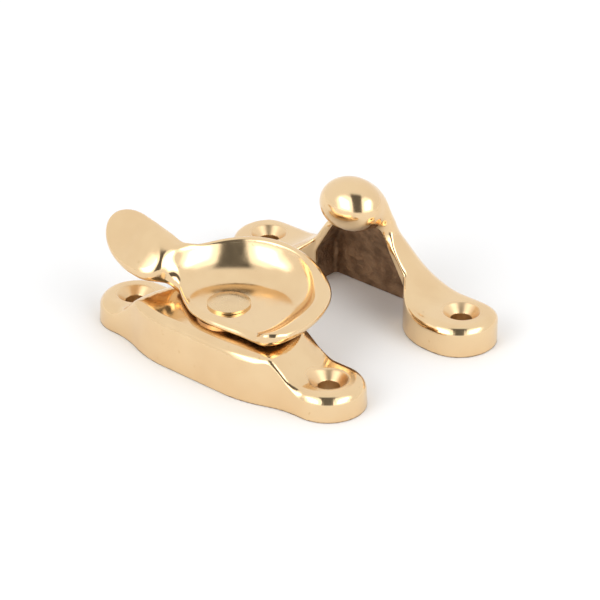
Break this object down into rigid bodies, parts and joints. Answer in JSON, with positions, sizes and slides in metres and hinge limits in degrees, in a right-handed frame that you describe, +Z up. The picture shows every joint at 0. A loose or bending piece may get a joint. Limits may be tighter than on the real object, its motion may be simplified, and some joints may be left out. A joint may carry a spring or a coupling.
{
  "type": "window sash lock",
  "caption": "Cam fastener for a sliding sash window: base plate, turning dished cam with thumb leaf on a rivet, and a separate hooked keep with a ball nose.",
  "frame": {"origin": "on the mounting face of the base plate, under the cam's pivot and midway between the base plate's screw holes", "axes": "+Z up from the mounting face along the pivot, +X along the plates, +Y from the fastener towards the keep"},
  "size_m": [0.069, 0.0551, 0.0283],
  "materials": {
    "polished_brass": "cast brass polished bright; the keep's recess left rough as cast",
    "rivet_brass": "turned brass with fine lathe marks",
    "bronze": "rolled phosphor bronze sheet"
  },
  "bodies": {
    "keep_half": {"keep": "polished_brass"},
    "fastener_base": {"base_plate": "polished_brass", "thrust_washer": "bronze", "spring_washer": "bronze"},
    "cam": {"cam_lever": "polished_brass", "pivot_rivet": "rivet_brass", "backing_washer": "rivet_brass"}
  },
  "joints": [
    {"name": "sash_slide", "type": "slide", "parent": "keep_half", "child": "fastener_base", "axis": [0, 0, 1], "range_m": [0, 0.06]},
    {"name": "cam_turn", "type": "hinge", "parent": "fastener_base", "child": "cam", "pos_m": [0, 0, 0.0115], "axis": [0, 0, 1], "range_deg": [0, 180]}
  ]
}
